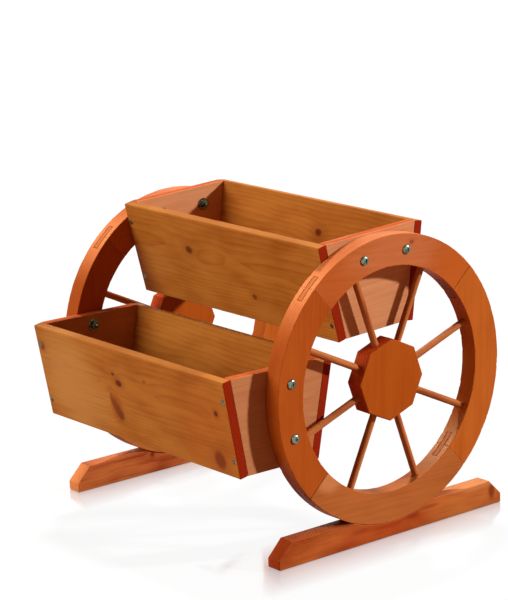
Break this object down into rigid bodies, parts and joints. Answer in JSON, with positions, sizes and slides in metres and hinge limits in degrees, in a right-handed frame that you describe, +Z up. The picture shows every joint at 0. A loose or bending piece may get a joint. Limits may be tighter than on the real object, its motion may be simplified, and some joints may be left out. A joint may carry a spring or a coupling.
{
  "type": "garden planter cart stand",
  "caption": "Wooden cart-shaped stand with a low front planting trough and a raised back trough, bolted between spoked wheels on foot skids.",
  "frame": {"origin": "on the ground under the middle of the whole stand", "axes": "+X along the troughs to the right-hand wheel, -Y to the front with the lower trough, +Z up"},
  "size_m": [0.4872, 0.4747, 0.426],
  "materials": {
    "rim_wood": "orange-brown stained softwood, sawn faces",
    "joint_wood": "stained softwood",
    "hub_wood": "orange-brown stained softwood",
    "spoke_wood": "stained dowel",
    "board_wood": "orange-brown stained boards with knots",
    "bottom_wood": "stained boards",
    "skid_wood": "red-brown stained softwood",
    "zinc_steel": "bright zinc"
  },
  "bodies": {
    "root": {"bolts_left": "zinc_steel", "bolts_right": "zinc_steel", "hub_left": "hub_wood", "hub_right": "hub_wood", "lower_back_board": "board_wood", "lower_bottom": "bottom_wood", "lower_end_left": "board_wood", "lower_end_right": "board_wood", "lower_front_board": "board_wood", "rim_bottom_left": "rim_wood", "rim_bottom_right": "rim_wood", "rim_front_left": "rim_wood", "rim_front_right": "rim_wood", "rim_rear_left": "rim_wood", "rim_rear_right": "rim_wood", "rim_tongues_left": "joint_wood", "rim_tongues_right": "joint_wood", "rim_top_left": "rim_wood", "rim_top_right": "rim_wood", "skid_left": "skid_wood", "skid_right": "skid_wood", "spokes_left": "spoke_wood", "spokes_right": "spoke_wood", "upper_back_board": "board_wood", "upper_bottom": "bottom_wood", "upper_end_left": "board_wood", "upper_end_right": "board_wood", "upper_front_board": "board_wood"}
  },
  "joints": []
}
